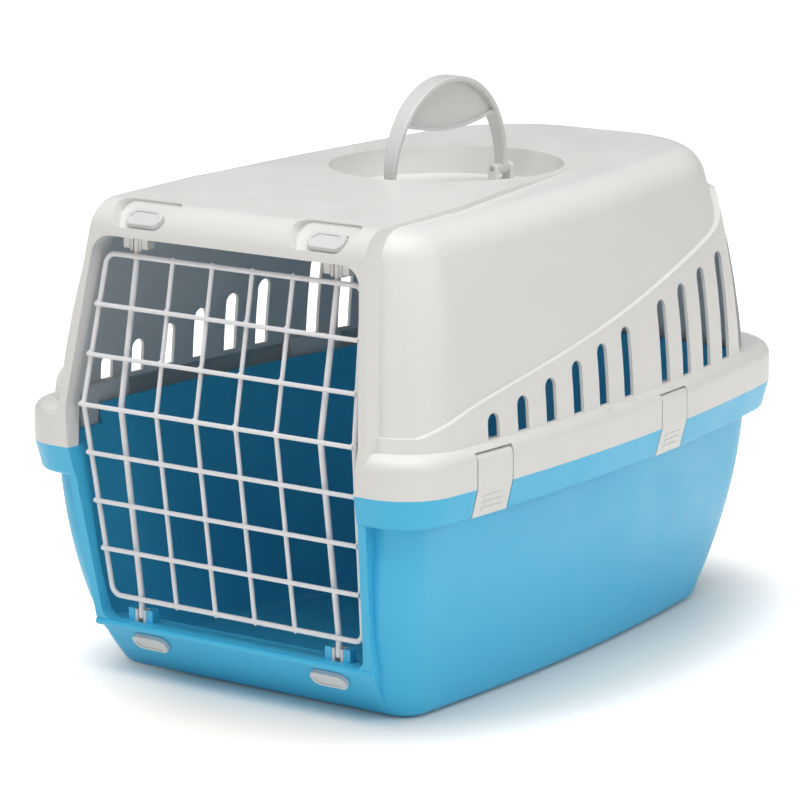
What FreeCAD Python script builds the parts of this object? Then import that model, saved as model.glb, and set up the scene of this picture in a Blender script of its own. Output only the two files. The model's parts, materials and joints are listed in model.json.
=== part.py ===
import FreeCAD, Part
import math
import os
from types import SimpleNamespace

import Sketcher

doc = FreeCAD.newDocument("PetCarrier")
os.makedirs("parts", exist_ok=True)

# Driving sizes: millimetres, or degrees where the name ends in angle
driving_sizes = [
    # rim where the two shells meet
    ("parting_height", 152), ("rim_half_width", 165), ("rim_front", 245), ("rim_rear", 245),
    ("rim_front_corner", 36), ("rim_rear_corner", 60), ("bow_radius", 1600), ("bow_apex", 130),
    ("upper_rim_height", 26), ("upper_rim_rounding", 9), ("lower_rim_height", 19.4),
    ("lower_rim_taper", 5), ("lower_rim_rounding", 3), ("shell_wall", 2.4),
    # tub
    ("base_half_width", 121), ("base_front", 193), ("base_rear", 198), ("base_front_corner", 18),
    ("base_rear_corner", 50), ("base_rounding", 8), ("sill_height", 37),
    ("waist_half_width", 132), ("waist_front", 215), ("waist_rear", 216), ("waist_front_corner", 22),
    ("waist_rear_corner", 53), ("belly_height", 95), ("belly_half_width", 143.8), ("belly_front", 227),
    ("belly_rear", 232), ("belly_front_corner", 20), ("belly_rear_corner", 55.7),
    ("tub_half_width", 149), ("tub_front", 231), ("tub_rear", 233.5), ("tub_front_corner", 20),
    ("tub_rear_corner", 56), ("sill_depth", 20), ("sill_thickness", 6), ("sill_bead", 5),
    ("sill_bead_proud", 0.8), ("lip_rise", 14),
    # top shell
    ("skirt_half_width", 158.9), ("skirt_front", 237), ("skirt_rear", 230), ("skirt_front_corner", 37.5),
    ("skirt_rear_corner", 85), ("flank_height", 233), ("flank_half_width", 152.7), ("flank_front", 225),
    ("flank_rear", 217.5), ("flank_front_corner", 37.5), ("flank_rear_corner", 86),
    ("shoulder_rear", 208), ("roof_height", 314), ("roof_half_width", 130.5),
    ("roof_front", 209.5), ("roof_rear", 204), ("roof_front_corner", 34), ("roof_rear_corner", 92),
    ("roof_rounding", 24), ("roof_tilt_angle", 1.5), ("panel_step", 3.5), ("ridge_front", 220),
    ("ridge_height", 187), ("ridge_length", 398), ("ridge_rise", 100.5),
    # door opening, its collar and the hood above it
    ("opening_sill_half", 105.5), ("opening_knee_half", 117), ("opening_lip_half", 105.5),
    ("opening_knee_height", 180), ("lip_height", 289), ("opening_top_corner", 14),
    ("opening_sill_corner", 7), ("collar_width", 6), ("collar_sill_front", 223.5),
    ("collar_knee_front", 245.4), ("collar_knee_height", 170), ("collar_lip_front", 227),
    ("collar_depth", 40), ("knee_rounding", 30), ("brow_front", 225), ("brow_height", 309.6),
    ("hood_rounding", 22), ("hood_half_width", 107), ("tongue_height", 315.4), ("tongue_front", 125),
    ("tongue_crest", 80), ("crest_rounding", 1500), ("tongue_rear", 80), ("tongue_rear_half", 73),
    # vent slots
    ("slot_width", 12), ("slot_pitch", 31.3), ("front_slot_place", 159.3), ("rear_slot_place", 48),
    ("slot_first_height", 194.5), ("slot_last_height", 257), ("slot_foot_gap", 0.6),
    # handle and its recess
    ("recess_half_width", 77), ("recess_half_length", 80), ("recess_place", 6.5), ("recess_depth", 18),
    ("handle_reach", 64), ("handle_stilt", 4.5), ("handle_axis_depth", 10), ("handle_band", 4),
    ("handle_width", 14), ("handle_foot_width", 8), ("handle_web", 3.2), ("handle_web_height", 42),
    ("handle_web_sag", 7), ("handle_web_rim", 2), ("handle_rim_width", 7), ("handle_edge", 1.3),
    ("handle_barrel", 6.8), ("handle_barrel_length", 12), ("handle_pin", 3.2), ("handle_lug", 4),
    # wire door
    ("door_knee_height", 180.5), ("door_knee_front", 236), ("door_end_front", 218.2), ("door_top", 275.8),
    ("door_bottom", 52.5), ("door_top_half", 102), ("door_knee_half", 108.5), ("door_bottom_half", 101.3),
    ("door_corner", 7), ("loop_wire", 3.4), ("grid_wire", 3), ("rod_wire", 4), ("weld_sink", 0.5),
    ("upright_spacing", 32), ("cross_overhang", 1), ("rod_offset", 80), ("rod_top", 286.5),
    ("rod_foot", 39.5), ("rod_bend", 12),
    # door clips
    ("clip_width", 9), ("clip_wall", 2.6), ("clip_lip", 1.6), ("clip_gap", 1.6), ("bottom_clip_gap", 5.8),
    ("tab_width", 28),
    ("tab_height", 13), ("tab_thickness", 3.4), ("tab_inboard", 7.5), ("tab_corner", 6), ("tab_edge", 0.9),
    ("tab_border", 2.4), ("tab_dish", 0.7), ("top_tab_angle", 45), ("bottom_tab_drop", 12),
    ("rib_thickness", 5), ("rib_height", 8.5),
    ("scoop_width", 58), ("scoop_foot_width", 37), ("scoop_rise", 14.6), ("scoop_drop", 11),
    ("scoop_corner", 8), ("scoop_depth", 6), ("scoop_inboard", 9), ("scoop_margin", 4),
    # side latches
    ("latch_width", 35), ("latch_strap", 3), ("latch_inset", 4.6), ("latch_axis_depth", 9),
    ("latch_barrel", 8.4), ("latch_pin", 2.4),
    ("latch_pin_hold", 4), ("latch_hook", 3.2), ("latch_bend", 4.2), ("latch_foot_bend", 2),
    ("latch_front_place", 167), ("latch_rear_place", 48.5), ("latch_seat_margin", 6),
    ("latch_seat_depth", 14), ("latch_swing_room", 1.3), ("latch_side_gap", 1.1), ("grip_rib", 0.5),
    ("grip_pitch", 4), ("grip_width", 20),
    # fits
    ("running_clearance", 0.06), ("part_clearance", 0.4), ("overrun", 30),
]
sheet = doc.addObject("Spreadsheet::Sheet", "Sizes")
for row, (alias, number) in enumerate(driving_sizes, start=1):
    sheet.set(f"A{row}", alias)
    sheet.set(f"B{row}", str(number))
    sheet.setAlias(f"B{row}", alias)
doc.recompute()
size = SimpleNamespace(**{alias: float(sheet.get(alias)) for alias, number in driving_sizes})

# Shares along the ridge on top of the skirt, of its length and of its rise
ridge_length_shares = [0, 0.05, 0.189, 0.516, 0.824, 0.9, 0.96, 1]
ridge_rise_shares = [0, 0.075, 0.2, 0.426, 0.686, 0.758, 0.85, 1]
# Places of the door's uprights, as shares of their spacing
upright_shares = [-1.5, -0.5, 0.5, 1.5]
front_slot_count = 6
rear_slot_count = 5
upper_row_count = 3
lower_row_count = 4
grip_rib_count = 3
slot_round_share = 0.98
sides = {"left": -1, "right": 1}


def vector(along_x, along_y, along_z):
    return FreeCAD.Vector(along_x, along_y, along_z)


up = vector(0, 0, 1)
across = vector(1, 0, 0)
rearward = vector(0, 1, 0)


# Lines with rounded corners through a list of points, closed or open
def rounded_wire(points, radii, closed):
    count = len(points)
    corners = []
    for index, point in enumerate(points):
        radius = radii[index]
        if radius == 0:
            corners.append((point, None, point))
            continue
        back = (points[index - 1] - point).normalize()
        ahead = (points[(index + 1) % count] - point).normalize()
        half_angle = back.getAngle(ahead) / 2
        middle = (back + ahead).normalize()
        reach = radius / math.tan(half_angle)
        depth = radius / math.sin(half_angle) - radius
        corners.append((point + back * reach, point + middle * depth, point + ahead * reach))
    edges = []
    for index, (start, through, end) in enumerate(corners):
        if through is not None:
            edges.append(Part.Arc(start, through, end).toShape())
        if closed or index < count - 1:
            edges.append(Part.LineSegment(end, corners[(index + 1) % count][0]).toShape())
    return Part.Wire(edges)


# A straight-sided solid raised on a rounded outline
def prism(points, radii, direction):
    return Part.Face(rounded_wire(points, radii, True)).extrude(direction)


# A box between two opposite corners
def block(low, high):
    span = high - low
    return Part.makeBox(span.x, span.y, span.z, low)


# A round wire bent along a path
def bent_wire(path, diameter):
    first = path.OrderedEdges[0]
    start = path.OrderedVertexes[0].Point
    tangent = first.tangentAt(first.FirstParameter)
    ring = Part.Wire(Part.Circle(start, tangent, diameter / 2).toShape())
    return path.makePipeShell([ring], True, True)


# The plan of a shell at one height: straight ends, bowed sides and rounded corners
def plan_wire(height, half_width, front, rear, front_corner, rear_corner, inset, tilt_angle=0):
    radius = size.bow_radius - inset
    bow_centre = vector(half_width - size.bow_radius, -size.bow_apex, 0)
    ends = []
    for end, corner in ((inset - front, front_corner - inset), (rear - inset, rear_corner - inset)):
        facing = math.copysign(1, end)
        corner_y = end - facing * corner
        corner_x = bow_centre.x + math.sqrt((radius - corner) ** 2 - (corner_y - bow_centre.y) ** 2)
        corner_centre = vector(corner_x, corner_y, 0)
        outward = (corner_centre - bow_centre).normalize()
        bisector = (outward + rearward * facing).normalize()
        ends.append((vector(corner_x, end, 0), corner_centre + bisector * corner,
                     corner_centre + outward * corner))
    (front_end, front_middle, front_side), (rear_end, rear_middle, rear_side) = ends
    apex = vector(half_width - inset, -size.bow_apex, 0)

    def mirrored(point):
        return vector(-point.x, point.y, point.z)

    wire = Part.Wire([
        Part.LineSegment(mirrored(front_end), front_end).toShape(),
        Part.Arc(front_end, front_middle, front_side).toShape(),
        Part.Arc(front_side, apex, rear_side).toShape(),
        Part.Arc(rear_side, rear_middle, rear_end).toShape(),
        Part.LineSegment(rear_end, mirrored(rear_end)).toShape(),
        Part.Arc(mirrored(rear_end), mirrored(rear_middle), mirrored(rear_side)).toShape(),
        Part.Arc(mirrored(rear_side), mirrored(apex), mirrored(front_side)).toShape(),
        Part.Arc(mirrored(front_side), mirrored(front_middle), mirrored(front_end)).toShape(),
    ])
    wire.rotate(vector(0, 0, 0), across, tilt_angle)
    wire.translate(up * height)
    return wire


# A solid whose plan changes from section to section
def plan_loft(sections, smooth=False):
    return Part.makeLoft([plan_wire(*section) for section in sections], True, not smooth)


def top_face(solid):
    return max(solid.Faces, key=lambda face: face.CenterOfMass.z)


def bottom_face(solid):
    return min(solid.Faces, key=lambda face: face.CenterOfMass.z)


# Heights and places that several pieces share
far = size.rim_front + size.overrun
rim_top = size.parting_height + size.upper_rim_height
rim_foot = size.parting_height - size.lower_rim_height
recess_floor = size.tongue_height - size.recess_depth
handle_axis_height = size.tongue_height - size.handle_axis_depth
handle_foot = size.handle_reach - size.handle_band / 2
loop_radius = size.loop_wire / 2
rod_radius = size.rod_wire / 2
grid_radius = size.grid_wire / 2
rod_axis_y = loop_radius + rod_radius - size.weld_sink - size.door_end_front
rim_plan = (size.rim_half_width, size.rim_front, size.rim_rear, size.rim_front_corner, size.rim_rear_corner)
base_plan = (size.base_half_width, size.base_front, size.base_rear, size.base_front_corner,
             size.base_rear_corner)
waist_plan = (size.waist_half_width, size.waist_front, size.waist_rear, size.waist_front_corner,
              size.waist_rear_corner)
belly_plan = (size.belly_half_width, size.belly_front, size.belly_rear, size.belly_front_corner,
              size.belly_rear_corner)
tub_plan = (size.tub_half_width, size.tub_front, size.tub_rear, size.tub_front_corner, size.tub_rear_corner)
skirt_plan = (size.skirt_half_width, size.skirt_front, size.skirt_rear, size.skirt_front_corner,
              size.skirt_rear_corner)
flank_plan = (size.flank_half_width, size.flank_front, size.flank_rear, size.flank_front_corner,
              size.flank_rear_corner)
shoulder_plan = (size.roof_half_width + size.panel_step, size.roof_front + size.panel_step,
                 size.shoulder_rear, size.roof_front_corner + size.panel_step, size.skirt_rear_corner)
roof_plan = (size.roof_half_width, size.roof_front, size.roof_rear, size.roof_front_corner,
             size.roof_rear_corner)
latch_axis_height = rim_top - size.latch_axis_depth
latch_half = size.latch_width / 2
latch_pin_half = latch_half + size.latch_side_gap + size.latch_pin_hold
handle_pin_length = size.handle_barrel_length + 2 * (size.part_clearance + size.handle_lug)
below_parting = block(vector(-far, -far, -far), vector(far, far, size.parting_height))


# The door opening as a solid running from in front of the carrier into the cabin
def opening_solid(back):
    sill = size.opening_sill_half
    knee = size.opening_knee_half
    lip = size.opening_lip_half
    points = [vector(-sill, -far, size.sill_height), vector(sill, -far, size.sill_height),
              vector(knee, -far, size.opening_knee_height), vector(lip, -far, size.lip_height),
              vector(-lip, -far, size.lip_height), vector(-knee, -far, size.opening_knee_height)]
    radii = [size.opening_sill_corner, size.opening_sill_corner, size.knee_rounding,
             size.opening_top_corner, size.opening_top_corner, size.knee_rounding]
    return prism(points, radii, rearward * (far - back))


# Collar round the door and the hood above it: side view, front view and plan taken together
def hood_solid():
    side_points = [vector(-far, -size.base_front, 0), vector(-far, -size.collar_sill_front, size.sill_height),
                   vector(-far, -size.collar_knee_front, size.collar_knee_height),
                   vector(-far, -size.collar_lip_front, size.lip_height),
                   vector(-far, -size.brow_front, size.brow_height),
                   vector(-far, -size.tongue_crest, size.tongue_height),
                   vector(-far, size.tongue_rear, size.tongue_height), vector(-far, size.tongue_rear, 0)]
    side_radii = [size.base_rounding, 0, size.knee_rounding, 0, size.hood_rounding, size.crest_rounding, 0, 0]
    side = prism(side_points, side_radii, across * (2 * far))
    sill = size.opening_sill_half + size.collar_width
    knee = size.opening_knee_half + size.collar_width
    hood = size.hood_half_width
    foot = size.base_half_width - size.base_front_corner
    front_points = [vector(-foot, -far, 0), vector(foot, -far, 0), vector(sill, -far, size.sill_height),
                    vector(knee, -far, size.opening_knee_height), vector(hood, -far, size.tongue_height),
                    vector(hood, -far, 2 * far), vector(-hood, -far, 2 * far),
                    vector(-hood, -far, size.tongue_height), vector(-knee, -far, size.opening_knee_height),
                    vector(-sill, -far, size.sill_height)]
    front_radii = [0, 0, 0, size.knee_rounding, 0, 0, 0, 0, size.knee_rounding, 0]
    front = prism(front_points, front_radii, rearward * (2 * far))
    tail = size.tongue_rear_half
    plan_points = [vector(-far, -far, 0), vector(far, -far, 0), vector(hood, -size.tongue_front, 0),
                   vector(tail, size.tongue_rear, 0), vector(-tail, size.tongue_rear, 0),
                   vector(-hood, -size.tongue_front, 0)]
    plan = prism(plan_points, [0] * len(plan_points), up * (2 * far))
    return side.common(front).common(plan)


# Local frames of the latches: origin on the hinge pin, X outward, Y along the rim
def latch_frame(side, place_y):
    turn = math.asin((place_y + size.bow_apex) / size.bow_radius)
    reach = size.bow_radius - size.latch_inset
    axis_x = size.rim_half_width - size.bow_radius + reach * math.cos(turn)
    axis_y = reach * math.sin(turn) - size.bow_apex
    angle = math.degrees(turn) if side > 0 else 180 - math.degrees(turn)
    base = vector(side * axis_x, axis_y, latch_axis_height)
    return FreeCAD.Placement(base, FreeCAD.Rotation(up, angle))


latch_frames = {}
for side_name, side in sides.items():
    latch_frames[f"front_{side_name}"] = latch_frame(side, -size.latch_front_place)
    latch_frames[f"rear_{side_name}"] = latch_frame(side, size.latch_rear_place)


# Solid seats in the hollow rims that carry a latch and its pin
def latch_seats(rim, low, high):
    half = latch_half + size.latch_side_gap + size.latch_seat_margin
    seats = []
    for frame in latch_frames.values():
        seat = block(vector(size.latch_inset - size.latch_seat_depth, -half, low - latch_axis_height),
                     vector(size.latch_inset, half, high - latch_axis_height))
        seat.Placement = frame
        seats.append(seat.common(rim))
    return seats


# Notches that the latches lie in, with room for the hook and holes for the pins
def latch_notches():
    gap = size.part_clearance
    half = latch_half + size.latch_side_gap
    pocket = size.latch_barrel / 2 + gap
    inner = size.latch_inset - size.latch_strap - gap
    outer = size.latch_inset + size.overrun
    parting = size.parting_height - latch_axis_height
    foot = rim_foot - latch_axis_height
    ceiling = foot + size.latch_strap + gap
    ceiling_x = inner - size.lower_rim_taper * (parting - ceiling) / size.lower_rim_height
    tip = inner - size.lower_rim_taper - size.latch_hook
    lift = size.latch_barrel / 2 + size.latch_swing_room
    below = foot - size.overrun
    points = [vector(-pocket, -half, lift), vector(-pocket, -half, -pocket), vector(inner, -half, -pocket),
              vector(inner, -half, parting), vector(ceiling_x, -half, ceiling), vector(tip, -half, ceiling),
              vector(tip, -half, below), vector(outer, -half, below), vector(outer, -half, lift)]
    notches = []
    for frame in latch_frames.values():
        pin = Part.makeCylinder(size.latch_pin / 2 + size.running_clearance, 2 * latch_pin_half,
                                vector(0, -latch_pin_half, 0), rearward)
        notch = prism(points, [0] * len(points), rearward * (2 * half)).fuse(pin)
        notch.Placement = frame
        notches.append(notch)
    return notches


# Where the clips run: the stem's section and the slanted planes that carry the tabs
stem_half = size.clip_width / 2
rod_bore = rod_radius + size.part_clearance
stem_front = rod_axis_y - size.clip_lip
stem_back = rod_axis_y + rod_bore + size.clip_wall
tab_angle = math.radians(size.top_tab_angle)
brow_centre_y = size.hood_rounding - size.brow_front
brow_centre_z = size.brow_height - size.hood_rounding
tab_stand = size.part_clearance + size.tab_thickness / 2
top_tab_reach = size.hood_rounding - size.scoop_depth + tab_stand
top_tab_y = brow_centre_y - top_tab_reach * math.cos(tab_angle)
top_tab_z = brow_centre_z + top_tab_reach * math.sin(tab_angle)
panel_angle = math.atan2(size.collar_sill_front - size.base_front, size.sill_height)
bottom_tab_height = size.sill_height - size.bottom_tab_drop
panel_y = -size.base_front - bottom_tab_height * math.tan(panel_angle)
bottom_tab_y = panel_y - tab_stand * math.cos(panel_angle)
bottom_tab_z = bottom_tab_height - tab_stand * math.sin(panel_angle)


# Slots for the clips' stems, with guide ribs on both sides of each
def stem_slot(side, low, high):
    centre = side * size.rod_offset
    half = stem_half + size.part_clearance
    return block(vector(centre - half, stem_front - size.part_clearance, low),
                 vector(centre + half, stem_back + size.part_clearance, high))


def guide_ribs(side, low, high):
    centre = side * size.rod_offset
    inner = stem_half + size.part_clearance
    outer = inner + size.rib_thickness
    return [block(vector(centre - outer, stem_front, low), vector(centre - inner, stem_back, high)),
            block(vector(centre + inner, stem_front, low), vector(centre + outer, stem_back, high))]


# Scooped pocket in the hood that a top tab sits in
def scoop_solid(side):
    centre = vector(side * (size.rod_offset - size.scoop_inboard), 0, 0)
    top_half = size.scoop_width / 2
    foot_half = size.scoop_foot_width / 2
    points = [vector(-foot_half, -size.scoop_drop, 0), vector(foot_half, -size.scoop_drop, 0),
              vector(top_half, size.scoop_rise, 0), vector(-top_half, size.scoop_rise, 0)]
    scoop = prism(points, [size.scoop_corner] * 4, up * (size.scoop_depth + size.overrun))
    floor_reach = size.hood_rounding - size.scoop_depth
    base = centre + vector(0, brow_centre_y - floor_reach * math.cos(tab_angle),
                           brow_centre_z + floor_reach * math.sin(tab_angle))
    scoop.Placement = FreeCAD.Placement(base, FreeCAD.Rotation(across, 90 - size.top_tab_angle))
    return scoop


# Lower tub: flared tub, hollow rim with a flat flange and an inner lip, beaded sill, collar and clip guides
def lower_tub_shape(hood, opening):
    tub = plan_loft([(0, *base_plan, 0), (size.sill_height, *waist_plan, 0),
                     (size.belly_height, *belly_plan, 0), (size.parting_height, *tub_plan, 0)], True)
    tub = tub.makeFillet(size.base_rounding, bottom_face(tub).Edges)
    wall = size.shell_wall
    cavity = plan_loft([(wall, *base_plan, wall), (size.sill_height, *waist_plan, wall),
                        (size.belly_height, *belly_plan, wall), (size.parting_height, *tub_plan, wall)], True)
    cavity = cavity.makeFillet(size.base_rounding - wall, bottom_face(cavity).Edges)
    cavity = cavity.fuse(top_face(cavity).extrude(up * size.overrun))
    taper = size.lower_rim_taper / size.lower_rim_height
    rim = plan_loft([(rim_foot, *rim_plan, size.lower_rim_taper), (size.parting_height, *rim_plan, 0)])
    rim = rim.makeFillet(size.lower_rim_rounding, bottom_face(rim).Edges)
    under = plan_loft([(rim_foot - wall, *rim_plan, size.lower_rim_taper + wall + taper * wall),
                       (size.parting_height - wall, *rim_plan, wall + taper * wall)])
    sill = block(vector(-size.opening_sill_half, -far, size.sill_height - size.sill_thickness),
                 vector(size.opening_sill_half, size.sill_depth - size.collar_sill_front, size.sill_height))
    collar_back = size.collar_depth - size.waist_front
    door_side = block(vector(-far, -far, 0), vector(far, collar_back, size.parting_height))
    lip = plan_loft([(size.parting_height, *tub_plan, 0),
                     (size.parting_height + size.lip_rise, *tub_plan, 0)])
    lip = lip.common(block(vector(-far, collar_back, 0), vector(far, far, far)))
    collar = hood.common(door_side).cut([cavity, opening])
    ribs = [rib for side in sides.values()
            for rib in guide_ribs(side, size.sill_height - size.sill_thickness,
                                  size.sill_height + size.rib_height)]
    bead_radius = size.sill_bead / 2
    bead_half = size.opening_sill_half + size.collar_width
    bead = Part.makeCylinder(bead_radius, 2 * bead_half,
                             vector(-bead_half, bead_radius - size.sill_bead_proud - size.collar_sill_front,
                                    size.sill_height - bead_radius), across)
    shape = rim.cut(under).fuse([tub, lip] + latch_seats(rim, rim_foot, size.parting_height))
    shape = shape.cut([cavity]).fuse([sill.common(tub), collar]).cut([opening]).fuse(ribs + [bead])
    slots = [stem_slot(side, 0, size.sill_height + size.overrun) for side in sides.values()]
    return shape.cut(slots + latch_notches()).removeSplitter()


# Upper shell: rim, set-back panels over a proud skirt, hood, handle recess, vent slots and clip pockets
def upper_shell_shape(hood, opening):
    wall = size.shell_wall
    low = size.parting_height
    ridge_points = [vector(-far, size.ridge_length * along - size.ridge_front,
                           size.ridge_height + size.ridge_rise * rise)
                    for along, rise in zip(ridge_length_shares, ridge_rise_shares)]
    ridge = Part.BSplineCurve()
    ridge.interpolate(ridge_points)
    first = ridge_points[0]
    last = ridge_points[-1]
    outline = [last, vector(-far, far, last.z), vector(-far, far, 0), vector(-far, -far, 0),
               vector(-far, -far, first.z), first]
    ridge_edges = [ridge.toShape()] + Part.makePolygon(outline).Edges
    below_ridge = Part.Face(Part.Wire(ridge_edges)).extrude(across * (2 * far))

    def panels(inset):
        solid = plan_loft([(low, *skirt_plan, size.panel_step + inset),
                           (size.flank_height, *flank_plan, size.panel_step + inset),
                           (size.roof_height - inset, *roof_plan, inset, size.roof_tilt_angle)], True)
        return solid.makeFillet(size.roof_rounding - inset, top_face(solid).Edges)

    def skirt(inset):
        solid = plan_loft([(low, *skirt_plan, inset), (size.flank_height, *flank_plan, inset),
                           (size.roof_height, *shoulder_plan, inset)], True)
        return solid.common(below_ridge.translated(up * -inset))

    outer = panels(0)
    cavity = panels(wall).fuse(skirt(wall))
    above_rim = block(vector(-far, -far, rim_top - wall), vector(far, far, 2 * far))
    rim = plan_loft([(low, *rim_plan, 0), (rim_top, *rim_plan, 0)])
    rim = rim.makeFillet(size.upper_rim_rounding, top_face(rim).Edges)
    under = plan_loft([(low - wall, *rim_plan, wall), (rim_top - wall, *rim_plan, wall)])
    under = under.makeFillet(size.upper_rim_rounding - wall, top_face(under).Edges)
    bowl = Part.Face(Part.Wire(Part.Ellipse(vector(0, size.recess_place, recess_floor - wall),
                                            size.recess_half_length + wall,
                                            size.recess_half_width + wall).toShape()))
    bowl.rotate(vector(0, size.recess_place, 0), up, 90)
    bowl = bowl.extrude(up * (size.recess_depth + wall)).common(outer)
    recess = Part.Face(Part.Wire(Part.Ellipse(vector(0, size.recess_place, recess_floor),
                                              size.recess_half_length, size.recess_half_width).toShape()))
    recess.rotate(vector(0, size.recess_place, 0), up, 90)
    recess = recess.extrude(up * size.overrun)
    collar = hood.cut(below_parting).cut([cavity, opening])
    clip_blocks = []
    for side in sides.values():
        middle = side * (size.rod_offset - size.scoop_inboard)
        half = size.scoop_width / 2 + size.scoop_margin
        pad = block(vector(middle - half, -far, size.lip_height),
                    vector(middle + half, brow_centre_y + size.scoop_margin, size.roof_height))
        clip_blocks.append(pad.common(outer))
    lugs = []
    for foot in (-1, 1):
        for face in (-1, 1):
            centre = size.recess_place + foot * handle_foot
            near = size.handle_barrel_length / 2 + size.part_clearance
            start = centre + face * near
            end = centre + face * (near + size.handle_lug)
            radius = size.handle_barrel / 2
            post = block(vector(-radius, min(start, end), recess_floor - wall / 2),
                         vector(radius, max(start, end), handle_axis_height))
            eye = Part.makeCylinder(radius, size.handle_lug, vector(0, min(start, end), handle_axis_height),
                                    rearward)
            lugs += [post, eye]
    pin_bore = size.handle_pin / 2 + size.running_clearance
    pins = [Part.makeCylinder(pin_bore, handle_pin_length,
                              vector(0, size.recess_place + foot * handle_foot - handle_pin_length / 2,
                                     handle_axis_height), rearward) for foot in (-1, 1)]
    ribs = [rib for side in sides.values()
            for rib in guide_ribs(side, size.lip_height - size.rib_height, size.lip_height)]
    skins = outer.fuse(skirt(0)).common(above_rim)
    seats = latch_seats(rim, low, rim_top)
    shape = rim.cut(under).fuse(skins).cut(cavity).fuse(seats + [collar, bowl] + clip_blocks)
    shape = shape.cut([opening, recess]).fuse(lugs + ribs)
    slots = [stem_slot(side, size.lip_height - size.rib_height, brow_centre_z + size.hood_rounding)
             for side in sides.values()]
    scoops = [scoop_solid(side) for side in sides.values()]
    return shape.cut(slots + scoops + latch_notches() + vent_slots() + pins).removeSplitter()


# Upright vent slots with round tops, cut across both side walls
def vent_slots():
    places = [size.slot_pitch * index - size.front_slot_place for index in range(front_slot_count)]
    places += [size.slot_pitch * index + size.rear_slot_place for index in range(rear_slot_count)]
    climb = (size.slot_last_height - size.slot_first_height) / (places[-1] - places[0])
    half = size.slot_width / 2
    foot = rim_top + size.slot_foot_gap
    radii = [0, 0, half * slot_round_share, half * slot_round_share]
    cuts = []
    for place in places:
        top = size.slot_first_height + climb * (place - places[0])
        points = [vector(0, place - half, foot), vector(0, place + half, foot),
                  vector(0, place + half, top), vector(0, place - half, top)]
        cuts += [prism(points, radii, across * (side * far)) for side in sides.values()]
    return cuts


pieces = []


# A piece whose shape is worked out above
def coded_piece(label, shape):
    piece = doc.addObject("Part::Feature", label)
    piece.Label = label
    piece.Shape = shape
    piece.Placement = FreeCAD.Placement()
    pieces.append(piece)


opening_cut = opening_solid(size.waist_front - size.collar_depth)
hood_block = hood_solid()
coded_piece("lower_tub", lower_tub_shape(hood_block, opening_cut))
coded_piece("upper_shell", upper_shell_shape(hood_block, opening_cut))

# Wire door: a bent loop, cross wires in front, uprights between them and two rods behind
bend = size.rod_bend
door_ends = ((size.door_top, size.door_top_half), (size.door_bottom, size.door_bottom_half))
(top_z, top_half), (bottom_z, bottom_half) = door_ends
knee_y = -size.door_knee_front
end_y = -size.door_end_front
loop_path = rounded_wire(
    [vector(-top_half, end_y, top_z), vector(top_half, end_y, top_z),
     vector(size.door_knee_half, knee_y, size.door_knee_height), vector(bottom_half, end_y, bottom_z),
     vector(-bottom_half, end_y, bottom_z), vector(-size.door_knee_half, knee_y, size.door_knee_height)],
    [size.door_corner, size.door_corner, bend, size.door_corner, size.door_corner, bend], True)
coded_piece("door_frame", bent_wire(loop_path, size.loop_wire))

upright_shift = grid_radius - loop_radius
uprights = []
for place_share in upright_shares:
    place = size.upright_spacing * place_share
    path = rounded_wire([vector(place, end_y + upright_shift, bottom_z),
                         vector(place, knee_y + upright_shift, size.door_knee_height),
                         vector(place, end_y + upright_shift, top_z)], [0, bend, 0], False)
    uprights.append(bent_wire(path, size.grid_wire))
coded_piece("door_upright_wires", Part.makeCompound(uprights))

rod_shift = loop_radius + rod_radius - size.weld_sink
for side_name, side in sides.items():
    place = side * size.rod_offset
    path = rounded_wire([vector(place, rod_axis_y, size.rod_foot), vector(place, rod_axis_y, bottom_z),
                         vector(place, knee_y + rod_shift, size.door_knee_height),
                         vector(place, rod_axis_y, top_z), vector(place, rod_axis_y, size.rod_top)],
                        [0, bend, bend, bend, 0], False)
    coded_piece(f"door_rod_{side_name}", bent_wire(path, size.rod_wire))

# Straight cross wires, one cylinder each, kept together as one piece
cross_shift = loop_radius + grid_radius - size.weld_sink
rows = [("top", index, upper_row_count) for index in range(upper_row_count)]
rows += [("bottom", index, lower_row_count) for index in range(1, lower_row_count)]
cross_wires = []
for end_name, index, count in rows:
    row_share = index / count
    end_z, end_half = door_ends[0] if end_name == "top" else door_ends[1]
    row_half = size.door_knee_half + (end_half - size.door_knee_half) * row_share + size.cross_overhang
    row_y = knee_y + (end_y - knee_y) * row_share - cross_shift
    row_z = size.door_knee_height + (end_z - size.door_knee_height) * row_share
    wire = doc.addObject("Part::Cylinder", f"cross_wire_{end_name}_{index}")
    wire.setExpression("Radius", "Sizes.grid_wire / 2")
    wire.setExpression("Height", f"2 * (Sizes.door_knee_half + Sizes.cross_overhang + "
                                 f"(Sizes.door_{end_name}_half - Sizes.door_knee_half) * {index} / {count})")
    wire.Placement = FreeCAD.Placement(vector(-row_half, row_y, row_z), FreeCAD.Rotation(rearward, 90))
    cross_wires.append(wire)
grid = doc.addObject("Part::Compound", "door_cross_wires")
grid.Links = cross_wires
pieces.append(grid)


# A round pin along a local Y axis
def round_pin(label, radius_formula, length_formula, half_length, frame):
    pin = doc.addObject("Part::Cylinder", label)
    pin.Label = label
    pin.setExpression("Radius", radius_formula)
    pin.setExpression("Height", length_formula)
    start = FreeCAD.Placement(vector(0, -half_length, 0), FreeCAD.Rotation(across, -90))
    pin.Placement = frame.multiply(start)
    pieces.append(pin)


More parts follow.
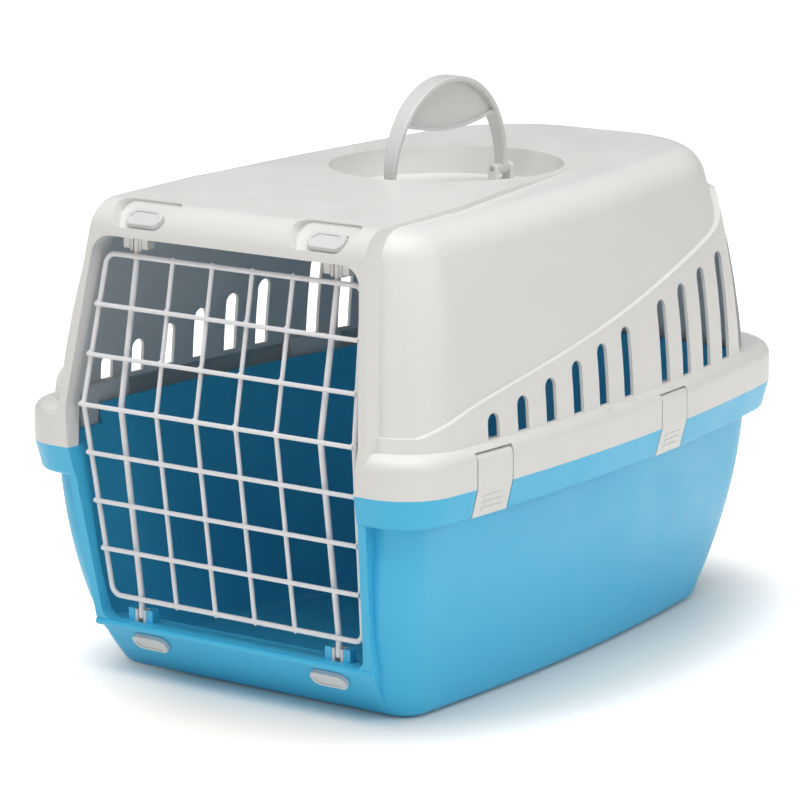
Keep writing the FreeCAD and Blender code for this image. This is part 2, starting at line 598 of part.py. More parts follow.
for latch_name, frame in latch_frames.items():
    round_pin(f"latch_pin_{latch_name}", "Sizes.latch_pin / 2",
              "Sizes.latch_width + 2 * (Sizes.latch_side_gap + Sizes.latch_pin_hold)",
              latch_pin_half, frame)
handle_frame = FreeCAD.Placement(vector(0, size.recess_place, handle_axis_height), FreeCAD.Rotation())
for end_name, facing in (("front", -1), ("rear", 1)):
    foot_place = FreeCAD.Placement(vector(0, facing * handle_foot, 0), FreeCAD.Rotation())
    round_pin(f"handle_pin_{end_name}", "Sizes.handle_pin / 2",
              "Sizes.handle_barrel_length + 2 * (Sizes.part_clearance + Sizes.handle_lug)",
              handle_pin_length / 2, handle_frame.multiply(foot_place))


# Features of a body built from bound sketches
def new_body(label, placement):
    body = doc.addObject("PartDesign::Body", label)
    body.Label = label
    body.Placement = placement
    pieces.append(body)
    return body


def new_sketch(body, name, role, offset=FreeCAD.Placement()):
    sketch = body.newObject("Sketcher::SketchObject", name)
    plane = next(item for item in body.Origin.OriginFeatures if item.Role == role)
    sketch.AttachmentSupport = (plane, [""])
    sketch.MapMode = "FlatFace"
    sketch.AttachmentOffset = offset
    return sketch


# A closed polygon that starts as a unit ring and takes its corners from the sheet
def add_polygon(sketch, corners):
    count = len(corners)
    turns = [2 * math.pi * index / count for index in range(count)]
    ring = [vector(math.cos(turn), math.sin(turn), 0) for turn in turns]
    for index in range(count):
        sketch.addGeometry(Part.LineSegment(ring[index], ring[(index + 1) % count]), False)
    for index in range(count):
        sketch.addConstraint(Sketcher.Constraint("Coincident", index, 2, (index + 1) % count, 1))
    for index, formulas in enumerate(corners):
        for kind, formula, start in zip(("DistanceX", "DistanceY"), formulas, ring[index]):
            number = sketch.addConstraint(Sketcher.Constraint(kind, -1, 1, index, 1, start))
            sketch.setExpression(f"Constraints[{number}]", formula)


def add_circle(sketch, radius_formula):
    sketch.addGeometry(Part.Circle(vector(0, 0, 0), up, 1), False)
    sketch.addConstraint(Sketcher.Constraint("Coincident", 0, 3, -1, 1))
    number = sketch.addConstraint(Sketcher.Constraint("Radius", 0, 1))
    sketch.setExpression(f"Constraints[{number}]", radius_formula)


def add_pad(body, sketch, name, formula, side_type="One side", backward=False):
    pad = body.newObject("PartDesign::Pad", name)
    pad.Profile = sketch
    pad.setExpression("Length", formula)
    pad.SideType = side_type
    pad.Reversed = backward
    return pad


def add_pocket(body, sketch, name, depth_formula=None):
    doc.recompute()
    before = body.Shape.Volume
    pocket = body.newObject("PartDesign::Pocket", name)
    pocket.Profile = sketch
    if depth_formula:
        pocket.setExpression("Length", depth_formula)
    else:
        pocket.Type = "ThroughAll"
        pocket.SideType = "Symmetric"
    doc.recompute()
    if body.Shape.Volume >= before:
        raise RuntimeError(f"{body.Label}: {name} cut nothing")
    return pocket


def add_fillet(body, base, name, formula, chosen):
    doc.recompute()
    fillet = body.newObject("PartDesign::Fillet", name)
    numbered = enumerate(base.Shape.Edges, start=1)
    fillet.Base = (base, [f"Edge{number}" for number, edge in numbered if chosen(edge)])
    fillet.setExpression("Radius", formula)
    return fillet


# Whether a straight edge runs along a direction
def runs_along(edge, direction):
    if not isinstance(edge.Curve, Part.Line):
        return False
    return abs(abs(edge.Curve.Direction.dot(direction)) - 1) < size.running_clearance


# Clips: a rounded tab on a stem whose open front holds the end of a door rod
def make_clip(label, side, base, tab_offset, stem_formula, downward):
    body = new_body(label, FreeCAD.Placement(base, FreeCAD.Rotation()))
    tab_sketch = new_sketch(body, f"{label}_tab_outline", "XY_Plane", tab_offset)
    centre = f"{-side} * Sizes.tab_inboard"
    left = f"{centre} - Sizes.tab_width / 2"
    right = f"{centre} + Sizes.tab_width / 2"
    add_polygon(tab_sketch, [(left, "-Sizes.tab_height / 2"), (right, "-Sizes.tab_height / 2"),
                             (right, "Sizes.tab_height / 2"), (left, "Sizes.tab_height / 2")])
    tab = add_pad(body, tab_sketch, f"{label}_tab", "Sizes.tab_thickness")
    normal = tab_offset.Rotation.multVec(up)
    corners = add_fillet(body, tab, f"{label}_tab_corners", "Sizes.tab_corner",
                         lambda edge: runs_along(edge, normal))
    doc.recompute()
    outer = max(corners.Shape.Faces, key=lambda face: face.CenterOfMass.dot(normal))
    outer_edges = outer.Edges
    add_fillet(body, corners, f"{label}_tab_edge", "Sizes.tab_edge",
               lambda edge: any(edge.isSame(other) for other in outer_edges))
    dish_offset = FreeCAD.Placement(tab_offset.Base + normal * size.tab_thickness, tab_offset.Rotation)
    dish_sketch = new_sketch(body, f"{label}_dish_outline", "XY_Plane", dish_offset)
    add_polygon(dish_sketch, [(f"{left} + Sizes.tab_corner", "Sizes.tab_border - Sizes.tab_height / 2"),
                              (f"{right} - Sizes.tab_corner", "Sizes.tab_border - Sizes.tab_height / 2"),
                              (f"{right} - Sizes.tab_border", "0"),
                              (f"{right} - Sizes.tab_corner", "Sizes.tab_height / 2 - Sizes.tab_border"),
                              (f"{left} + Sizes.tab_corner", "Sizes.tab_height / 2 - Sizes.tab_border"),
                              (f"{left} + Sizes.tab_border", "0")])
    add_pocket(body, dish_sketch, f"{label}_dish", "Sizes.tab_dish")
    stem_sketch = new_sketch(body, f"{label}_stem_outline", "XY_Plane")
    bore = "(Sizes.rod_wire / 2 + Sizes.part_clearance)"
    half = "Sizes.clip_width / 2"
    back = f"{bore} + Sizes.clip_wall"
    add_polygon(stem_sketch, [(f"-{half}", "-Sizes.clip_lip"), (f"-{bore}", "-Sizes.clip_lip"),
                              (f"-{bore}", bore), (bore, bore), (bore, "-Sizes.clip_lip"),
                              (half, "-Sizes.clip_lip"), (half, back), (f"-{half}", back)])
    add_pad(body, stem_sketch, f"{label}_stem", stem_formula, backward=downward)


top_stem_low = size.door_top + loop_radius + size.clip_gap
bottom_stem_high = size.door_bottom - loop_radius - size.bottom_clip_gap
stand_formula = "(Sizes.part_clearance + Sizes.tab_thickness / 2)"
top_stem_formula = ("Sizes.brow_height - Sizes.hood_rounding "
                    f"+ (Sizes.hood_rounding - Sizes.scoop_depth + {stand_formula}) "
                    "* sin(Sizes.top_tab_angle) - Sizes.door_top - Sizes.loop_wire / 2 - Sizes.clip_gap")
bottom_stem_formula = ("Sizes.door_bottom - Sizes.loop_wire / 2 - Sizes.bottom_clip_gap "
                       "- Sizes.sill_height + Sizes.bottom_tab_drop")
for side_name, side in sides.items():
    top_turn = FreeCAD.Rotation(across, 90 - size.top_tab_angle)
    top_base = vector(side * size.rod_offset, rod_axis_y, top_stem_low)
    top_face_place = vector(0, top_tab_y - rod_axis_y, top_tab_z - top_stem_low)
    top_face_place -= top_turn.multVec(up) * (size.tab_thickness / 2)
    make_clip(f"top_clip_{side_name}", side, top_base, FreeCAD.Placement(top_face_place, top_turn),
              top_stem_formula, False)
    bottom_turn = FreeCAD.Rotation(across, 90 + math.degrees(panel_angle))
    bottom_base = vector(side * size.rod_offset, rod_axis_y, bottom_stem_high)
    bottom_face_place = vector(0, bottom_tab_y - rod_axis_y, bottom_tab_z - bottom_stem_high)
    bottom_face_place -= bottom_turn.multVec(up) * (size.tab_thickness / 2)
    make_clip(f"bottom_clip_{side_name}", side, bottom_base,
              FreeCAD.Placement(bottom_face_place, bottom_turn), bottom_stem_formula, True)


# Latches: a strap bent over the rim, hooked into it, with a barrel round its pin and grip ribs
def make_latch(label, frame):
    body = new_body(label, frame)
    top = "Sizes.latch_barrel / 2"
    outer = "Sizes.latch_inset"
    inner = "Sizes.latch_inset - Sizes.latch_strap"
    start = "Sizes.running_clearance"
    parting = "-(Sizes.upper_rim_height - Sizes.latch_axis_depth)"
    foot = "-(Sizes.upper_rim_height + Sizes.lower_rim_height - Sizes.latch_axis_depth)"

    # How far the slanted lower part stands back at a level above the foot
    def setback(level):
        return f"Sizes.lower_rim_taper * (1 - ({level}) / Sizes.lower_rim_height)"

    hook_inner = f"{inner} - {setback('Sizes.latch_strap')}"
    tip = f"{inner} - Sizes.lower_rim_taper - Sizes.latch_hook"
    strap_sketch = new_sketch(body, f"{label}_strap_outline", "XZ_Plane")
    add_polygon(strap_sketch, [(start, top), (outer, top), (outer, parting),
                               (f"{outer} - Sizes.lower_rim_taper", foot), (tip, foot),
                               (tip, f"{foot} + Sizes.latch_strap"),
                               (hook_inner, f"{foot} + Sizes.latch_strap"), (inner, parting),
                               (inner, f"{top} - Sizes.latch_strap"),
                               (start, f"{top} - Sizes.latch_strap")])
    strap = add_pad(body, strap_sketch, f"{label}_strap", "Sizes.latch_width", "Symmetric")

    def at_corner(corner_x, corner_z):
        return lambda edge: (runs_along(edge, rearward)
                             and abs(edge.CenterOfMass.x - corner_x) < size.part_clearance
                             and abs(edge.CenterOfMass.z - corner_z) < size.part_clearance)

    barrel_radius = size.latch_barrel / 2
    outside = add_fillet(body, strap, f"{label}_outer_bend", "Sizes.latch_bend",
                         at_corner(size.latch_inset, barrel_radius))
    inside = add_fillet(body, outside, f"{label}_inner_bend", "Sizes.latch_bend - Sizes.latch_strap",
                        at_corner(size.latch_inset - size.latch_strap, barrel_radius - size.latch_strap))
    add_fillet(body, inside, f"{label}_foot_bend", "Sizes.latch_foot_bend",
               at_corner(size.latch_inset - size.lower_rim_taper, rim_foot - latch_axis_height))
    barrel_sketch = new_sketch(body, f"{label}_barrel_outline", "XZ_Plane")
    add_circle(barrel_sketch, top)
    add_pad(body, barrel_sketch, f"{label}_barrel", "Sizes.latch_width", "Symmetric")
    for index in range(grip_rib_count):
        rib_sketch = new_sketch(body, f"{label}_rib_outline_{index}", "XZ_Plane")
        low = f"Sizes.grip_pitch * {index + 1}"
        high = f"{low} + Sizes.grip_pitch / 2"
        rib_face = f"{outer} + Sizes.grip_rib"
        rib_root = f"{outer} - Sizes.latch_strap / 2"
        add_polygon(rib_sketch, [(f"{rib_root} - {setback(low)}", f"{foot} + {low}"),
                                 (f"{rib_face} - {setback(low)}", f"{foot} + {low}"),
                                 (f"{rib_face} - {setback(high)}", f"{foot} + {high}"),
                                 (f"{rib_root} - {setback(high)}", f"{foot} + {high}")])
        add_pad(body, rib_sketch, f"{label}_rib_{index}", "Sizes.grip_width", "Symmetric")
    bore_sketch = new_sketch(body, f"{label}_bore_outline", "XZ_Plane")
    add_circle(bore_sketch, "Sizes.latch_pin / 2 + Sizes.running_clearance")
    add_pocket(body, bore_sketch, f"{label}_bore")


for latch_name, frame in latch_frames.items():
    make_latch(f"latch_{latch_name}", frame)

# Handle: a half-round band on short legs, a lens-shaped grip web with its own rim, a barrel at each foot
handle = new_body("handle", handle_frame)
arch_offset = FreeCAD.Placement(vector(0, 0, size.handle_stilt), FreeCAD.Rotation())
band_sketch = new_sketch(handle, "handle_band_outline", "XY_Plane", arch_offset)
band_inner = "Sizes.handle_reach - Sizes.handle_band"
add_polygon(band_sketch, [("-Sizes.handle_width / 2", band_inner), ("Sizes.handle_width / 2", band_inner),
                          ("Sizes.handle_width / 2", "Sizes.handle_reach"),
                          ("-Sizes.handle_width / 2", "Sizes.handle_reach")])
band = handle.newObject("PartDesign::Revolution", "handle_arch")
band.Profile = band_sketch
band.ReferenceAxis = (band_sketch, ["H_Axis"])
band.Angle = 180
for end_name, facing in (("front", -1), ("rear", 1)):
    leg_sketch = new_sketch(handle, f"handle_leg_outline_{end_name}", "XY_Plane")
    near = f"{facing} * ({band_inner})"
    away = f"{facing} * Sizes.handle_reach"
    add_polygon(leg_sketch, [("-Sizes.handle_width / 2", near), ("Sizes.handle_width / 2", near),
                             ("Sizes.handle_width / 2", away), ("-Sizes.handle_width / 2", away)])
    add_pad(handle, leg_sketch, f"handle_leg_{end_name}", "Sizes.handle_stilt")
for side_name, side in sides.items():
    taper_sketch = new_sketch(handle, f"handle_taper_outline_{side_name}", "XZ_Plane")
    crown = "Sizes.handle_stilt + Sizes.handle_reach"
    add_polygon(taper_sketch, [(f"{side} * Sizes.handle_foot_width / 2", "-Sizes.handle_barrel"),
                               (f"{side} * Sizes.handle_width", "-Sizes.handle_barrel"),
                               (f"{side} * Sizes.handle_width", crown),
                               (f"{side} * Sizes.handle_width / 2", crown),
                               (f"{side} * Sizes.handle_foot_width / 2", "0")])
    taper = add_pocket(handle, taper_sketch, f"handle_taper_{side_name}")
add_fillet(handle, taper, "handle_band_edges", "Sizes.handle_edge",
           lambda edge: edge.Length > size.handle_reach)
web_base = size.handle_web_height - size.handle_stilt
web_half = math.sqrt(handle_foot ** 2 - web_base ** 2)
web_turn = math.atan2(web_base, web_half)
sag_radius = (web_half ** 2 + size.handle_web_sag ** 2) / (2 * size.handle_web_sag)
sag_turn = math.asin(web_half / sag_radius)
sag_height = size.handle_web_height - size.handle_web_sag + sag_radius
foot_formula = "(Sizes.handle_reach - Sizes.handle_band / 2)"
web_base_formula = "(Sizes.handle_web_height - Sizes.handle_stilt)"
sag_formula = (f"(({foot_formula}^2 - {web_base_formula}^2 + Sizes.handle_web_sag^2) "
               "/ (2 * Sizes.handle_web_sag))")
web_sketch = new_sketch(handle, "handle_web_outline", "YZ_Plane")
web_sketch.addGeometry(Part.ArcOfCircle(Part.Circle(vector(0, size.handle_stilt, 0), up, handle_foot),
                                        web_turn, math.pi - web_turn), False)
web_sketch.addGeometry(Part.ArcOfCircle(Part.Circle(vector(0, sag_height, 0), up, sag_radius),
                                        1.5 * math.pi - sag_turn, 1.5 * math.pi + sag_turn), False)
web_sketch.addConstraint(Sketcher.Constraint("Coincident", 0, 2, 1, 1))
web_sketch.addConstraint(Sketcher.Constraint("Coincident", 0, 1, 1, 2))
web_sketch.addConstraint(Sketcher.Constraint("PointOnObject", 0, 3, -2))
web_sketch.addConstraint(Sketcher.Constraint("PointOnObject", 1, 3, -2))
web_bindings = [(Sketcher.Constraint("DistanceY", -1, 1, 0, 3, size.handle_stilt), "Sizes.handle_stilt"),
                (Sketcher.Constraint("DistanceY", -1, 1, 1, 1, size.handle_web_height),
                 "Sizes.handle_web_height"),
                (Sketcher.Constraint("Radius", 0, handle_foot), foot_formula),
                (Sketcher.Constraint("Radius", 1, sag_radius), sag_formula)]
for constraint, formula in web_bindings:
    number = web_sketch.addConstraint(constraint)
    web_sketch.setExpression(f"Constraints[{number}]", formula)
add_pad(handle, web_sketch, "handle_web", "Sizes.handle_web", "Symmetric")
rim_offset = FreeCAD.Placement(vector(0, sag_height, 0), FreeCAD.Rotation())
rim_sketch = new_sketch(handle, "handle_rim_outline", "XZ_Plane", rim_offset)
rim_low = f"-{sag_formula} - Sizes.handle_web_rim"
add_polygon(rim_sketch, [("-Sizes.handle_rim_width / 2", rim_low), ("Sizes.handle_rim_width / 2", rim_low),
                         ("Sizes.handle_rim_width / 2", f"-{sag_formula}"),
                         ("-Sizes.handle_rim_width / 2", f"-{sag_formula}")])
rim = handle.newObject("PartDesign::Revolution", "handle_rim")
rim.Profile = rim_sketch
rim.ReferenceAxis = (rim_sketch, ["H_Axis"])
rim.Midplane = True
rim.Angle = math.degrees(2 * sag_turn)
for end_name, facing in (("front", -1), ("rear", 1)):
    foot_offset = FreeCAD.Placement(vector(0, 0, facing * handle_foot), FreeCAD.Rotation())
    foot_sketch = new_sketch(handle, f"handle_foot_outline_{end_name}", "XZ_Plane", foot_offset)
    add_circle(foot_sketch, "Sizes.handle_barrel / 2")
    add_pad(handle, foot_sketch, f"handle_foot_{end_name}", "Sizes.handle_barrel_length", "Symmetric")
handle_bore = new_sketch(handle, "handle_bore_outline", "XZ_Plane")
add_circle(handle_bore, "Sizes.handle_pin / 2 + Sizes.running_clearance")
add_pocket(handle, handle_bore, "handle_bore")

# Check every object and every piece, then write the pieces
doc.recompute()
for item in doc.Objects:
    if "Invalid" in item.State or "Error" in item.State:
        raise RuntimeError(f"{item.Label} did not build: {item.State}")
for piece in pieces:
    if piece.Shape.isNull() or not piece.Shape.isValid() or not piece.Shape.Solids:
        raise RuntimeError(f"{piece.Label} has no valid solid")
for piece in pieces:
    piece.Shape.exportStep(f"parts/{piece.Label}.step")
    box = piece.Shape.BoundBox
    print(f"{piece.Label}: {len(piece.Shape.Solids)} solid(s), {piece.Shape.Volume:.0f} mm3, "
          f"{box.XMin:.1f}..{box.XMax:.1f} {box.YMin:.1f}..{box.YMax:.1f} {box.ZMin:.1f}..{box.ZMax:.1f}")
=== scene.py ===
import json
import math

import bmesh
import bpy
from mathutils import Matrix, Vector


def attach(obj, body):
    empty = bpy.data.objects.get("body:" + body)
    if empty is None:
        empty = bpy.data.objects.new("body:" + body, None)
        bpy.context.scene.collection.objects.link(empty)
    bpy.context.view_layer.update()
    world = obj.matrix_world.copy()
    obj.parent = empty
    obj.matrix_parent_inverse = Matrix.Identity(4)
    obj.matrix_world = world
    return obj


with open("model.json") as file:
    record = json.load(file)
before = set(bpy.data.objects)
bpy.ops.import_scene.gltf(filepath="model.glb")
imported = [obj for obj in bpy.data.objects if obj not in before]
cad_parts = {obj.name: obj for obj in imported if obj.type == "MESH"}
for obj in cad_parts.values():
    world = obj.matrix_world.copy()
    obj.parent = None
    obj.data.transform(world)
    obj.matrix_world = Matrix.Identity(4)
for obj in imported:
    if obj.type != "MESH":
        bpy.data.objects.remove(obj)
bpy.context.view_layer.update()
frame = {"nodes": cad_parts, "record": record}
nodes = frame["nodes"]
scene = bpy.context.scene
print("frame loaded with", len(nodes), "nodes")


# camera: same height, turn and lens as the 800 x 800 picture
cameraSet = {"target": (-0.00526, -0.03776, 0.16243), "turn": 36.79, "rise": 11.70, "distance": 2.7119,
             "lens": 184.6, "sensor": 36, "farClip": 60}
turn = math.radians(cameraSet["turn"])
rise = math.radians(cameraSet["rise"])
back = Vector((math.sin(turn) * math.cos(rise), -math.cos(turn) * math.cos(rise), math.sin(rise)))
bpy.ops.object.camera_add(location=Vector(cameraSet["target"]) + back * cameraSet["distance"])
camera = bpy.context.object
camera.name = "photoCamera"
camera.rotation_euler = (-back).to_track_quat("-Z", "Y").to_euler()
camera.data.lens = cameraSet["lens"]
camera.data.sensor_width = cameraSet["sensor"]
camera.data.clip_end = cameraSet["farClip"]
scene.camera = camera
print("camera set")


# soft studio light: a big box above, a card on the right, a tall strip for the streak on the front corner
# and a low card that lifts the panel under the door
lightSet = {
    "world": 0.18,
    "lamps": [
        ("topBox", (0.25, -0.65, 2.6), (0, 0, 0.15), (2.4, 2.4), 60),
        ("rightCard", (2.5, 0.4, 1.4), (0, 0, 0.15), (1.6, 1.6), 12),
        ("cornerStrip", (2.2, -1.0, 0.9), (0, -0.1, 0.2), (0.35, 1.8), 3),
        ("lowCard", (-0.4, -2.6, 0.4), (0, -0.2, 0.05), (1.4, 0.6), 5),
    ],
}
scene.view_settings.view_transform = "Standard"
world = bpy.data.worlds.new("studioWorld")
scene.world = world
world.use_nodes = True
world.node_tree.nodes["Background"].inputs["Color"].default_value = (1, 1, 1, 1)
world.node_tree.nodes["Background"].inputs["Strength"].default_value = lightSet["world"]
for lampName, place, aim, width, power in lightSet["lamps"]:
    bpy.ops.object.light_add(type="AREA", location=place)
    lamp = bpy.context.object
    lamp.name = lampName
    lamp.data.shape = "RECTANGLE"
    lamp.data.size, lamp.data.size_y = width
    lamp.data.energy = power
    lamp.rotation_euler = (Vector(aim) - Vector(place)).to_track_quat("-Z", "Y").to_euler()
print("lamps set")


# floor: pale, with a painted glow that rises to white away from the carrier; near it the glow is faint, so the
# floor still takes the shadow
floorSet = {"size": 30, "drop": 0.0004, "tone": (0.97, 0.93, 0.885, 1), "rough": 0.9, "middle": (0.035, -0.04),
            "half": (0.125, 0.20), "near": 1.0, "far": 2.2, "paintedGlowNear": 0.02, "paintedGlowFar": 0.9}
bpy.ops.mesh.primitive_plane_add(size=floorSet["size"], location=(0, 0, -floorSet["drop"]))
floor = bpy.context.object
floor.name = "paleFloor"
floorFinish = bpy.data.materials.new("paleFloorFinish")
floorFinish.use_nodes = True
tree = floorFinish.node_tree
floorShader = tree.nodes["Principled BSDF"]
floorShader.inputs["Base Color"].default_value = floorSet["tone"]
floorShader.inputs["Roughness"].default_value = floorSet["rough"]
floorShader.inputs["Specular IOR Level"].default_value = 0.0
floorShader.inputs["Emission Color"].default_value = (1, 1, 1, 1)


def mathNode(tree, operation, first, second):
    node = tree.nodes.new("ShaderNodeMath")
    node.operation = operation
    tree.links.new(first, node.inputs[0])
    tree.links.new(second, node.inputs[1])
    return node.outputs[0]


# only camera, glossy and transmission rays see the painted glow, so it puts no light on the carrier
rays = tree.nodes.new("ShaderNodeLightPath")
direct = mathNode(tree, "MAXIMUM", rays.outputs["Is Camera Ray"], rays.outputs["Is Glossy Ray"])
through = mathNode(tree, "MAXIMUM", direct, rays.outputs["Is Transmission Ray"])
floorPlace = tree.nodes.new("ShaderNodeTexCoord")
spread = tree.nodes.new("ShaderNodeMapping")  # 1 at the edge of the foot, more away from it
spread.inputs["Scale"].default_value = (1 / floorSet["half"][0], 1 / floorSet["half"][1], 0)
spread.inputs["Location"].default_value = (-floorSet["middle"][0] / floorSet["half"][0],
                                           -floorSet["middle"][1] / floorSet["half"][1], 0)
tree.links.new(floorPlace.outputs["Object"], spread.inputs["Vector"])
reach = tree.nodes.new("ShaderNodeVectorMath")
reach.operation = "LENGTH"
tree.links.new(spread.outputs["Vector"], reach.inputs[0])
# painted glow on the floor: emission that grows with distance from the carrier's foot and fades its shadow out
# within a short reach
paintedFloorGlow = tree.nodes.new("ShaderNodeMapRange")
paintedFloorGlow.interpolation_type = "SMOOTHSTEP"
paintedFloorGlow.inputs["From Min"].default_value = floorSet["near"]
paintedFloorGlow.inputs["From Max"].default_value = floorSet["far"]
paintedFloorGlow.inputs["To Min"].default_value = floorSet["paintedGlowNear"]
paintedFloorGlow.inputs["To Max"].default_value = floorSet["paintedGlowFar"]
tree.links.new(reach.outputs["Value"], paintedFloorGlow.inputs["Value"])
paintedGlowSeen = mathNode(tree, "MULTIPLY", through, paintedFloorGlow.outputs["Result"])
tree.links.new(paintedGlowSeen, floorShader.inputs["Emission Strength"])
floor.data.materials.append(floorFinish)
print("floor laid")


# finishes
def newGroup(name, inputs, outputs):
    group = bpy.data.node_groups.new(name, "ShaderNodeTree")
    for label, value in inputs:
        socket = group.interface.new_socket(label, in_out="INPUT", socket_type="NodeSocketFloat")
        socket.default_value = value
    for label in outputs:
        group.interface.new_socket(label, in_out="OUTPUT", socket_type="NodeSocketFloat")
    return group, group.nodes.new("NodeGroupInput"), group.nodes.new("NodeGroupOutput")


# grain of a spark-eroded mould, faint flow marks, and a slow drift of tone
grainSet = {"fineScale": 900, "fineDetail": 3, "flowScale": 30, "flowDetail": 4, "flowTwist": 0.6,
            "driftScale": 7, "driftDetail": 2}


def mouldGrain():
    group, given, result = newGroup("mouldGrain", [("Fine Scale", grainSet["fineScale"]),
                                                   ("Flow Scale", grainSet["flowScale"]),
                                                   ("Drift Scale", grainSet["driftScale"])],
                                    ["Height", "Flow", "Drift"])
    place = group.nodes.new("ShaderNodeTexCoord")
    fine = group.nodes.new("ShaderNodeTexNoise")
    fine.inputs["Detail"].default_value = grainSet["fineDetail"]
    flow = group.nodes.new("ShaderNodeTexNoise")
    flow.inputs["Detail"].default_value = grainSet["flowDetail"]
    flow.inputs["Distortion"].default_value = grainSet["flowTwist"]
    drift = group.nodes.new("ShaderNodeTexNoise")
    drift.inputs["Detail"].default_value = grainSet["driftDetail"]
    for noise, scale, label in ((fine, "Fine Scale", "Height"), (flow, "Flow Scale", "Flow"),
                                (drift, "Drift Scale", "Drift")):
        group.links.new(place.outputs["Object"], noise.inputs["Vector"])
        group.links.new(given.outputs[scale], noise.inputs["Scale"])
        group.links.new(noise.outputs["Fac"], result.inputs[label])
    return group


grainGroup = mouldGrain()
plasticSet = {"ior": 1.46, "flowLow": 0.3, "flowHigh": 0.7, "roughSpread": 0.06, "reliefDepth": 0.0002}


def mouldedPlastic(name, tone, shade, rough, grain, bump):
    finish = bpy.data.materials.new(name)
    finish.use_nodes = True
    tree = finish.node_tree
    shader = tree.nodes["Principled BSDF"]
    shader.inputs["IOR"].default_value = plasticSet["ior"]
    effect = tree.nodes.new("ShaderNodeGroup")
    effect.node_tree = grainGroup
    effect.inputs["Fine Scale"].default_value = grain
    mix = tree.nodes.new("ShaderNodeMix")
    mix.data_type = "RGBA"
    mix.inputs["A"].default_value = (*shade, 1)
    mix.inputs["B"].default_value = (*tone, 1)
    tree.links.new(effect.outputs["Drift"], mix.inputs["Factor"])
    tree.links.new(mix.outputs["Result"], shader.inputs["Base Color"])
    gloss = tree.nodes.new("ShaderNodeMapRange")
    gloss.inputs["From Min"].default_value = plasticSet["flowLow"]
    gloss.inputs["From Max"].default_value = plasticSet["flowHigh"]
    gloss.inputs["To Min"].default_value = rough - plasticSet["roughSpread"]
    gloss.inputs["To Max"].default_value = rough + plasticSet["roughSpread"]
    tree.links.new(effect.outputs["Flow"], gloss.inputs["Value"])
    tree.links.new(gloss.outputs["Result"], shader.inputs["Roughness"])
    relief = tree.nodes.new("ShaderNodeBump")
    relief.inputs["Strength"].default_value = bump
    relief.inputs["Distance"].default_value = plasticSet["reliefDepth"]
    tree.links.new(effect.outputs["Height"], relief.inputs["Height"])
    tree.links.new(relief.outputs["Normal"], shader.inputs["Normal"])
    return finish


finishSet = {
    "tub": mouldedPlastic("tubBlue", (0.075, 0.56, 0.88), (0.065, 0.53, 0.85), 0.38, 900, 0.25),
    "shell": mouldedPlastic("shellWhite", (0.83, 0.83, 0.81), (0.80, 0.80, 0.78), 0.38, 900, 0.3),
    "wire": mouldedPlastic("wireWhite", (0.90, 0.90, 0.92), (0.86, 0.86, 0.89), 0.3, 500, 0.1),
    "clip": mouldedPlastic("clipGrey", (0.78, 0.785, 0.79), (0.74, 0.745, 0.75), 0.4, 900, 0.2),
    "latch": mouldedPlastic("latchGrey", (0.83, 0.83, 0.81), (0.80, 0.80, 0.78), 0.38, 900, 0.2),
    "handle": mouldedPlastic("handleGrey", (0.73, 0.73, 0.72), (0.69, 0.69, 0.68), 0.36, 900, 0.25),
    "pin": mouldedPlastic("pinSteel", (0.5, 0.5, 0.51), (0.42, 0.42, 0.43), 0.35, 1500, 0.1),
}
for entry in frame["record"]["subparts"]:
    node = nodes[entry["node"]]
    node.data.materials.clear()
    node.data.materials.append(finishSet[entry["material_slot"]])
print("finishes laid on", len(nodes), "nodes")


# weld beads where the door's wires cross
weldSet = {"radius": 0.0022, "flat": 0.55, "arm": 1.3, "narrow": 0.8, "armStart": 0.6, "soften": 0.25,
           "kneeHeight": 0.1805, "kneeY": -0.236, "endY": -0.2182,
           "top": 0.2758, "bottom": 0.0525, "topHalf": 0.102, "kneeHalf": 0.1085, "bottomHalf": 0.1013,
           "uprights": (-0.048, -0.016, 0.016, 0.048), "rods": (-0.080, 0.080),
           "crossDepth": -0.00145, "rodDepth": 0.00145}


def selectByPlace(piece, test):
    mesh = bmesh.from_edit_mesh(piece.data)
    for vert in mesh.verts:
        vert.select_set(test(vert.co))
    mesh.select_flush(True)
    bmesh.update_edit_mesh(piece.data)


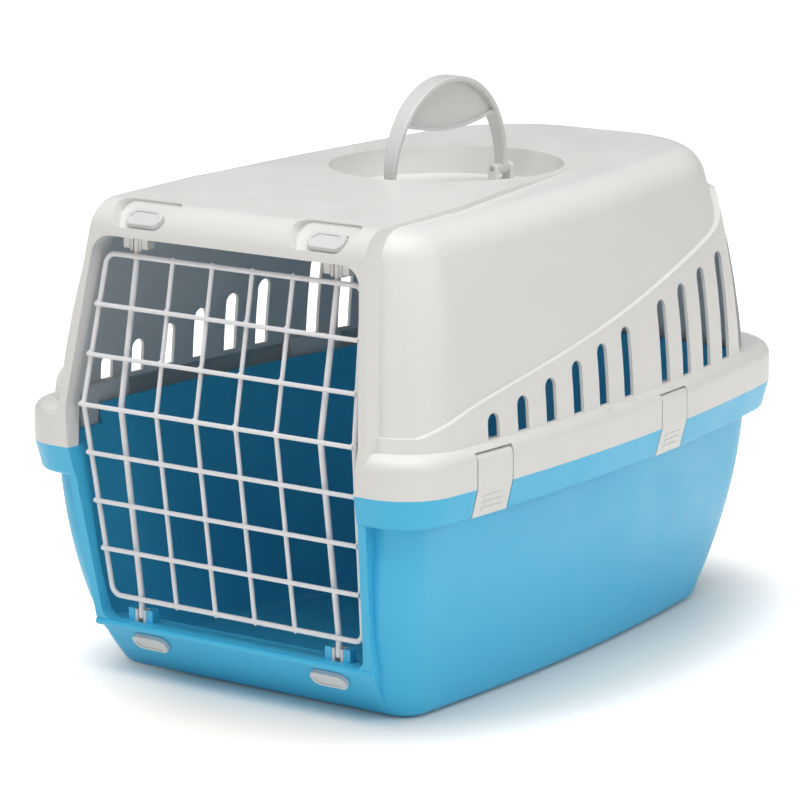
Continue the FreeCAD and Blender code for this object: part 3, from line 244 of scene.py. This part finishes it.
def modelBead():
    bpy.ops.object.select_all(action="DESELECT")
    radius = weldSet["radius"]
    bpy.ops.mesh.primitive_ico_sphere_add(subdivisions=2, radius=radius)
    bead = bpy.context.object
    bpy.ops.object.mode_set(mode="EDIT")
    bpy.ops.mesh.select_mode(type="VERT")
    bpy.ops.transform.resize(value=(1, weldSet["flat"], 1))
    armStart = weldSet["armStart"] * radius
    selectByPlace(bead, lambda place: abs(place.x) > armStart)  # run out along the cross wire
    bpy.ops.transform.resize(value=(weldSet["arm"], 1, weldSet["narrow"]), center_override=(0, 0, 0))
    selectByPlace(bead, lambda place: abs(place.z) > armStart)  # run out along the upright
    bpy.ops.transform.resize(value=(weldSet["narrow"], 1, weldSet["arm"]), center_override=(0, 0, 0))
    bpy.ops.mesh.select_all(action="SELECT")
    bpy.ops.mesh.vertices_smooth(factor=weldSet["soften"])
    bpy.ops.mesh.normals_make_consistent(inside=False)
    bpy.ops.object.mode_set(mode="OBJECT")
    bpy.ops.object.shade_smooth()
    return bead


def beadPlaces():
    places = []
    for endZ, endHalf, shares in ((weldSet["top"], weldSet["topHalf"], (0, 1 / 3, 2 / 3)),
                                  (weldSet["bottom"], weldSet["bottomHalf"], (1 / 4, 2 / 4, 3 / 4))):
        for share in shares:
            height = weldSet["kneeHeight"] + (endZ - weldSet["kneeHeight"]) * share
            depth = weldSet["kneeY"] + (weldSet["endY"] - weldSet["kneeY"]) * share + weldSet["crossDepth"]
            half = weldSet["kneeHalf"] + (endHalf - weldSet["kneeHalf"]) * share
            places += [(column, depth, height) for column in (-half, *weldSet["uprights"], half)]
        places += [(column, weldSet["endY"], endZ) for column in weldSet["uprights"]]
        places += [(column, weldSet["endY"] + weldSet["rodDepth"], endZ) for column in weldSet["rods"]]
    return places


firstBead = modelBead()
beads = []
for place in beadPlaces():
    bead = firstBead.copy()
    bead.data = firstBead.data.copy()
    bead.location = place
    bpy.context.collection.objects.link(bead)
    beads.append(bead)
bpy.data.objects.remove(firstBead)
bpy.ops.object.select_all(action="DESELECT")
for bead in beads:
    bead.select_set(True)
bpy.context.view_layer.objects.active = beads[0]
bpy.ops.object.join()
doorWelds = bpy.context.object
doorWelds.name = "doorWelds"
bpy.ops.object.transform_apply(location=True, rotation=True, scale=True)
doorWelds.data.materials.append(finishSet["wire"])
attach(doorWelds, "door")
print("door welds modelled:", len(beads))


bpy.context.view_layer.update()
